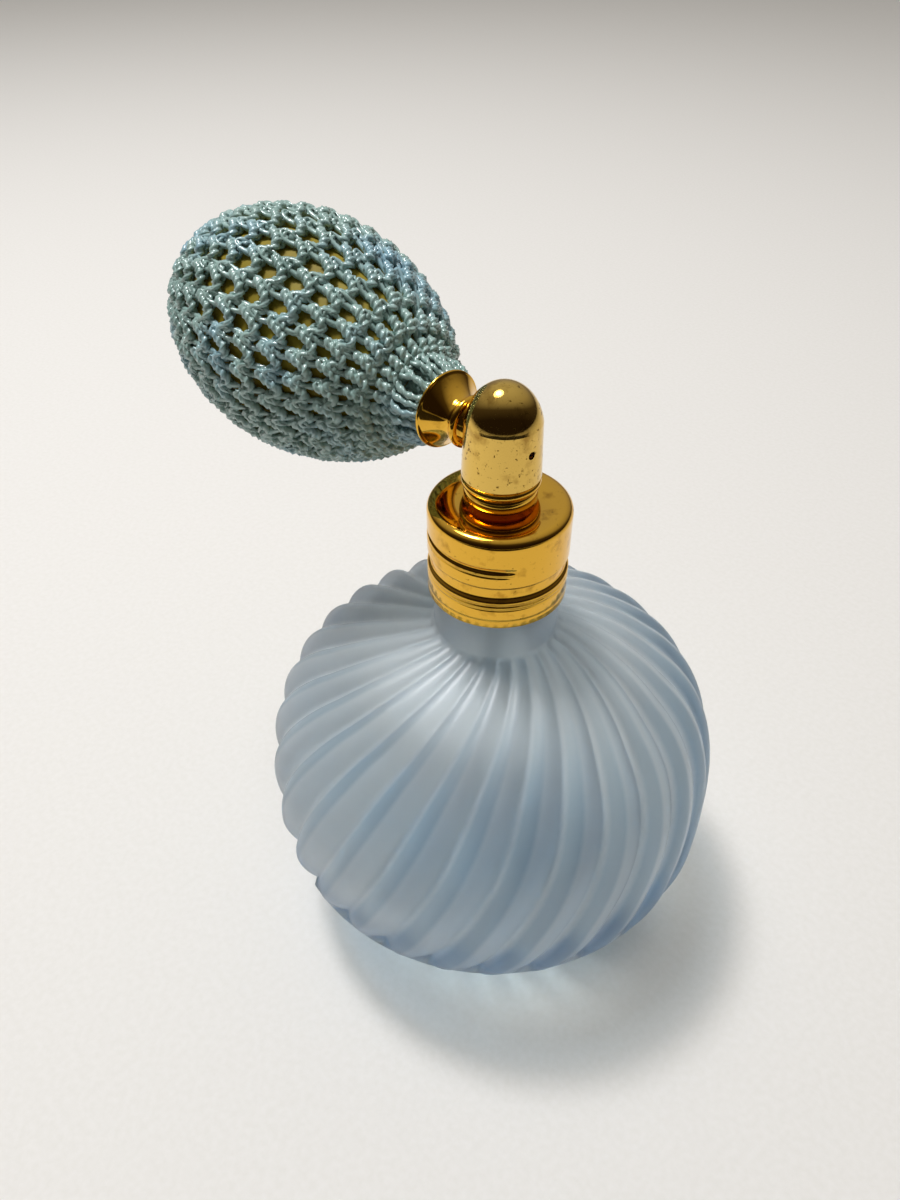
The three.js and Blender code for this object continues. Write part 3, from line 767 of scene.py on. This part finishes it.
def stitch_knots(pattern, row, stitch, dice):
    """One stitch's points, each a little off its place."""
    spacing = round_place(row + 1) - round_place(row)
    knots = []
    for around, along, lift in pattern:
        around += stitch + ROW_LEAN * row + dice.uniform(-STITCH_SCATTER, STITCH_SCATTER)
        along += dice.uniform(-STITCH_SCATTER, STITCH_SCATTER)
        along += ROUND_WANDER * noise.noise(Vector((stitch * 0.6, row * 0.9, 0)))
        travelled = min(round_place(row) + spacing * along, NET_OUTLINE[-1][0] - 1.5 * MM)
        knots.append(on_net(travelled, TURN * around / STITCHES, lift * YARN_RADIUS))
    return knots


def make_net(thread, arch, yarn, link):
    """Rounds of two strands wound about each other, tied to the next round by looped links."""
    dice = random.Random(11)
    pieces = []
    for first in range(0, ROUNDS, 5):
        arches, cores, links = [], [], []
        for row in range(first, min(first + 5, ROUNDS)):
            for pattern, strands in ((OUTER_STRAND, arches), (INNER_STRAND, cores)):
                knots = []
                for stitch in range(STITCHES):
                    knots += stitch_knots(pattern, row, stitch, dice)
                strands.append(smooth_path(knots, 4, True))
            if row < ROUNDS - 1:
                for stitch in range(STITCHES):
                    links.append(smooth_path(stitch_knots(LINK, row, stitch, dice), 3, False))
        number = first // 5 + 1
        pieces.append(twisted(f"net_arches_{number}", arches, arch, thread, TWIST_PITCH, True))
        twisted(f"net_cores_{number}", cores, yarn, thread, TWIST_PITCH, True)
        twisted(f"net_links_{number}", links, link, thread, LINK_PITCH, False)
    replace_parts(pieces[0], "crochet_net")


def make_intake(brass):
    """The air valve at the tail: a turned button with a drilled hole, held in the net's last loops."""
    end, start = -foot_of("intake_valve").x, -top_of("intake_valve").x
    radius, collar, bore = 3 * MM, top_of("intake_valve").y, 0.7 * MM
    rim = end - 3.6 * MM
    outline = ([(1.3 * MM, start), (radius - 0.6 * MM, start), (radius - 0.6 * MM, rim), (collar, rim),
                (collar, rim + 0.8 * MM), (radius, rim + 1 * MM)]
               + arc((radius - 0.4 * MM, end - 0.4 * MM), 0.4 * MM, 0, 90, 6)
               + [(bore + 0.2 * MM, end), (bore, end - 0.2 * MM), (bore, 67.9 * MM), (1.3 * MM, 67.3 * MM)])
    piece = finished("air_valve", along_x(turned(outline, 64)), brass, "tail_valve")
    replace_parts(piece, "intake_valve")


GATHERS = 34  # strands drawn together behind the flare
GATHER_STEPS = 24
GATHER_PITCH = 1.5 * TWIST_PITCH
TAIL_HOLE = 2.7 * MM  # radius at which the tail's strands meet the valve


def tail_reach(radius):
    """How far out the net's outside is at a radius near the tail."""
    return NET_MIDDLE + (NET_END - NET_MIDDLE) * math.sqrt(max(1 - (radius / NET_RADIUS) ** 2, 0))


def make_gathers(thread, yarn):
    """The thread's straight runs, drawn together behind the flare and round the valve at the tail."""
    dice = random.Random(7)
    mouth, tail = [], []
    start, end = FLARE_END - 0.5 * MM, FLARE_END + 0.9 * FIRST_ROUND
    for i in range(GATHERS):
        angle = TURN * (i + dice.uniform(-0.2, 0.2)) / GATHERS
        swing = dice.uniform(-0.15, 0.15)
        rise = dice.uniform(-0.3, 0.5) * MM
        path = []
        for step in range(GATHER_STEPS + 1):
            t = step / GATHER_STEPS
            radius = 4.4 * MM + (net_radius(end) - 4.8 * MM) * (1 - (1 - t) ** 1.6)
            radius += rise * math.sin(math.pi * t)
            turn = angle + swing * math.sin(math.pi * t)
            path.append(around_axis(start + (end - start) * t, radius, turn))
        mouth.append(path)
    for i in range(GATHERS // 2):
        angle = TURN * (i + dice.uniform(-0.2, 0.2)) / (GATHERS // 2)
        path = []
        for step in range(GATHER_STEPS + 1):
            t = step / GATHER_STEPS
            radius = TAIL_HOLE + 6 * MM * t
            reach = tail_reach(radius) - YARN_RADIUS * (1.4 - 0.5 * t)
            path.append(around_axis(reach, radius, angle + 0.5 * (1 - t)))
        tail.append(path)
    twisted("gathered_mouth", mouth, yarn, thread, GATHER_PITCH, False)
    twisted("gathered_tail", tail, yarn, thread, GATHER_PITCH, False)


def make_drawstring(thread, yarn):
    """The cord inside the net's mouth that closes it behind the flare."""
    low, high = foot_of("net_drawstring"), top_of("net_drawstring")
    cord = (high.x - low.x) / 2
    loop = []
    steps = 90
    for i in range(steps):
        turn = TURN * i / steps
        radius = high.y - cord + 0.1 * MM * math.sin(5 * turn)
        loop.append(around_axis(-(low.x + high.x) / 2, radius, turn))
    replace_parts(twisted("draw_cord", [loop], yarn, thread, TWIST_PITCH, True), "net_drawstring")


def make_strays(thread, fibre):
    """A few loose fibres by the flare."""
    dice = random.Random(5)
    fibres = []
    for turn, length in ((2.9, 2.6), (3.5, 1.8), (5.6, 2.2), (0.4, 1.5)):
        start = on_net(0.6 * MM + dice.uniform(0, 1) * MM, turn, YARN_RADIUS)
        out = Vector((0, math.sin(turn), math.cos(turn)))
        side = Vector((0.8 * MM, 0, 0)) + out.cross(Vector((1, 0, 0))) * dice.uniform(-1, 1) * MM
        knots = [start, start + out * 0.7 * length * MM, start + out * length * MM + 0.5 * side,
                 start + out * 0.6 * length * MM + side, start + side]
        fibres.append(smooth_path(knots, 8, False))
    twisted("stray_fibres", fibres, fibre, thread, TWIST_PITCH, False)


# ---------------------------------------------------------------- room, light and camera

def stage_sheet(name, made, size):
    """A flat square that belongs to the studio. The size is from its middle to its edges."""
    bm = bmesh.new()
    bmesh.ops.create_grid(bm, x_segments=1, y_segments=1, size=size)
    mesh = bpy.data.meshes.new(name)
    bm.to_mesh(mesh)
    bm.free()
    mesh.materials.append(made)
    sheet = bpy.data.objects.new(name, mesh)
    bpy.context.scene.collection.objects.link(sheet)
    return sheet


def make_room():
    """The pale floor: matt paper with a faint grain."""
    made, tree = material("pale_paper")
    where = add(tree, "ShaderNodeTexCoord").outputs["Object"]
    grain = add(tree, "ShaderNodeTexNoise", Vector=where, Scale=900.0, Detail=2.0)
    color = ramp(tree, grain.outputs["Fac"], (0.3, "#e9e6e1"), (0.7, "#edeae6"))
    surface(tree, add(tree, "ShaderNodeBsdfPrincipled", Base_Color=color, Roughness=0.75))
    stage_sheet("floor", made, 3)


def make_flag():
    """A dark studio flag lying on the viewer's side, which only reflections show."""
    made, tree = material("black_felt")
    surface(tree, add(tree, "ShaderNodeBsdfPrincipled", Base_Color=linear("#1d1712"), Roughness=0.9))
    flag = stage_sheet("flag", made, 0.6)
    flag.location = 0.8 * VIEW_SIDE + Vector((0, 0, 0.5 * MM))
    flag.rotation_euler.z = math.atan2(VIEW_SIDE.y, VIEW_SIDE.x)
    flag.visible_camera = flag.visible_diffuse = flag.visible_shadow = flag.visible_transmission = False


def softbox(name, size, power, place, color):
    """A round lamp aimed at the object. The size is its diameter."""
    light = bpy.data.lights.new(name, "AREA")
    light.shape = "DISK"
    light.size = size
    light.energy = power
    light.color = linear(color)[:3]
    lamp = bpy.data.objects.new(name, light)
    lamp.location = place
    aim = Vector((0, 0, 0.05)) - Vector(place)
    lamp.rotation_euler = aim.to_track_quat("-Z", "Y").to_euler()
    bpy.context.scene.collection.objects.link(lamp)


def make_light():
    """A room that is bright overhead and behind, dark on the viewer's side, with a lamp and its halo."""
    world = bpy.data.worlds.new("studio")
    world.use_nodes = True
    tree = world.node_tree
    tree.nodes.clear()
    way = add(tree, "ShaderNodeTexCoord").outputs["Generated"]
    bright_side = (Vector((0, 0, 1)) - 0.6 * VIEW_SIDE).normalized()  # overhead and behind
    lean = add(tree, "ShaderNodeVectorMath", {"operation": "DOT_PRODUCT"}, _0=way, _1=bright_side)
    color = ramp(tree, lean.outputs["Value"], (0.0, "#2a211a"), (0.35, "#4f463d"), (0.62, "#b3aea6"),
                 (0.95, "#d6d4ce"))
    back = add(tree, "ShaderNodeBackground", Color=color, Strength=0.75)
    add(tree, "ShaderNodeOutputWorld", Surface=back.outputs[0])
    bpy.context.scene.world = world
    bpy.context.scene.view_settings.view_transform = "Standard"
    softbox("key", 0.17, 6.2, (-0.33, -0.06, 1.0), "#fcfdff")
    softbox("halo", 0.45, 2.6, (-0.33, -0.06, 1.02), "#fcfdff")


def make_camera():
    """The camera, close above the object and looking down on it."""
    data = bpy.data.cameras.new("camera")
    data.sensor_width = 36
    data.sensor_fit = "AUTO"
    data.lens = 27.45
    data.clip_start = 0.01
    camera = bpy.data.objects.new("camera", data)
    camera.location = (71.5 * MM, -73.5 * MM, 149.8 * MM)
    aim = -0.7576 * VIEW_SIDE - Vector((0, 0, 0.653))
    camera.rotation_euler = aim.to_track_quat("-Z", "Y").to_euler()
    bpy.context.scene.collection.objects.link(camera)
    bpy.context.scene.camera = camera


make_camera()
make_room()
make_flag()
make_light()

gilt = gold_plate("gilt_brass", "#e8b443", "#7a5a1c", 0.08, -0.03)
pale_gilt = gold_plate("pale_gilt_brass", "#e2bc60", "#7d5f24", 0.08, 0.02)
turned_brass = plain_metal("turned_brass", "#b39153", 0.32)
bright_steel = plain_metal("bright_steel", "#c2c4c8", 0.2)
tinned_wire = plain_metal("tinned_wire", "#b3b3ae", 0.35)
acetal = plain_plastic("white_acetal", "#e6e4dd", 0.4)
polythene = plain_plastic("clear_polythene", "#dfe6e8", 0.3)
nitrile = plain_plastic("black_nitrile", "#262524", 0.6)
latex = dipped_latex()
thread = rayon_thread()

FINISHES = {"turned_brass": turned_brass, "steel": bright_steel, "tinned_wire": tinned_wire,
            "white_plastic": acetal, "clear_plastic": polythene, "seal_rubber": nitrile,
            "gilt_brass": gilt, "polished_brass": pale_gilt, "bulb_rubber": latex, "net_thread": thread}
for part in frame["record"]["subparts"]:
    finish = FINISHES.get(part["material_slot"])
    if finish:
        frame["nodes"][part["node"]].data.materials.clear()
        frame["nodes"][part["node"]].data.materials.append(finish)

make_bottle()
make_collar(gilt)
make_swivel_ring(gilt)
make_bead(gilt)
make_head(pale_gilt)
make_spigot(gilt)
make_spigot_nut(gilt)
make_flare(gilt)
make_rubber(latex)
yarn = yarn_section("yarn_section", YARN_RADIUS, 8)
link = yarn_section("link_section", LINK_RADIUS, 6)
arch = yarn_section("arch_section", ARCH_RADIUS, 8)
make_net(thread, arch, yarn, link)
make_gathers(thread, yarn)
make_drawstring(thread, yarn)
fibre = yarn_section("fibre_section", 0.05 * MM, 6)
make_strays(thread, fibre)
make_intake(turned_brass)
for section in (arch, yarn, link, fibre):
    bpy.data.objects.remove(section)
